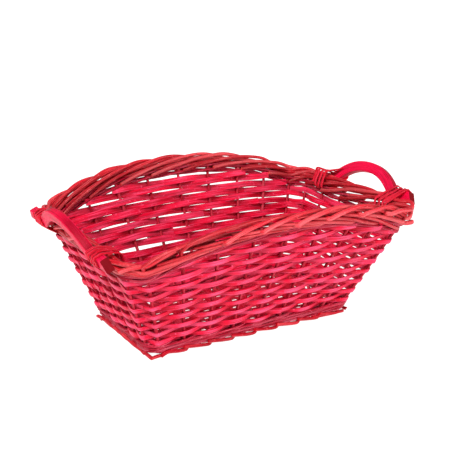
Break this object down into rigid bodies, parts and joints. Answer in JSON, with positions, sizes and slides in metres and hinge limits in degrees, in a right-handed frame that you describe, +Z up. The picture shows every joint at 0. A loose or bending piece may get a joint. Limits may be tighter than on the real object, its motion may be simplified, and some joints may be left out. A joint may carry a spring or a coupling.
{
  "type": "woven basket",
  "caption": "Rectangular woven wicker shopping basket with flared sides, an arched border and a lashed wooden bow handle on each short end.",
  "frame": {"origin": "on the ground under the middle of the basket, at the centre of its bounding box", "axes": "+Z up, +X along the length from one handle to the other, +Y across the width"},
  "size_m": [0.4706, 0.283, 0.1795],
  "materials": {
    "upright_willow": "red-dyed round willow, matt",
    "wale_willow": "red-dyed thin round willow with bark left on in places",
    "border_willow": "orange-red dyed round willow, satin",
    "foot_willow": "red-dyed round willow, satin",
    "siding_strip": "pinkish red dyed split wood strip with open grain, satin",
    "base_stick": "red-dyed round stick, matt",
    "base_strip": "red-dyed split wood strip, matt",
    "handle_wood": "crimson dyed sawn softwood, satin, darker end grain",
    "lashing_splint": "red-dyed flat splint, satin"
  },
  "bodies": {
    "root": {"uprights_front": "upright_willow", "lower_wale_front": "wale_willow", "upper_wale_front": "wale_willow", "border_front": "border_willow", "foot_front": "foot_willow", "uprights_right": "upright_willow", "lower_wale_right": "wale_willow", "upper_wale_right": "wale_willow", "border_right": "border_willow", "foot_right": "foot_willow", "uprights_back": "upright_willow", "lower_wale_back": "wale_willow", "upper_wale_back": "wale_willow", "border_back": "border_willow", "foot_back": "foot_willow", "uprights_left": "upright_willow", "lower_wale_left": "wale_willow", "upper_wale_left": "wale_willow", "border_left": "border_willow", "foot_left": "foot_willow", "weaver_row_01": "siding_strip", "weaver_row_02": "siding_strip", "weaver_row_03": "siding_strip", "weaver_row_04": "siding_strip", "weaver_row_05": "siding_strip", "weaver_row_06": "siding_strip", "weaver_row_07": "siding_strip", "weaver_row_08": "siding_strip", "weaver_row_09": "siding_strip", "weaver_row_10": "siding_strip", "weaver_row_11": "siding_strip", "weaver_row_12": "siding_strip", "weaver_row_13": "siding_strip", "weaver_row_14": "siding_strip", "crown_rows_front": "siding_strip", "crown_rows_back": "siding_strip", "base_sticks": "base_stick", "base_weavers": "base_strip", "handle_left": "handle_wood", "lashing_left_front": "lashing_splint", "lashing_left_back": "lashing_splint", "handle_right": "handle_wood", "lashing_right_front": "lashing_splint", "lashing_right_back": "lashing_splint"}
  },
  "joints": []
}
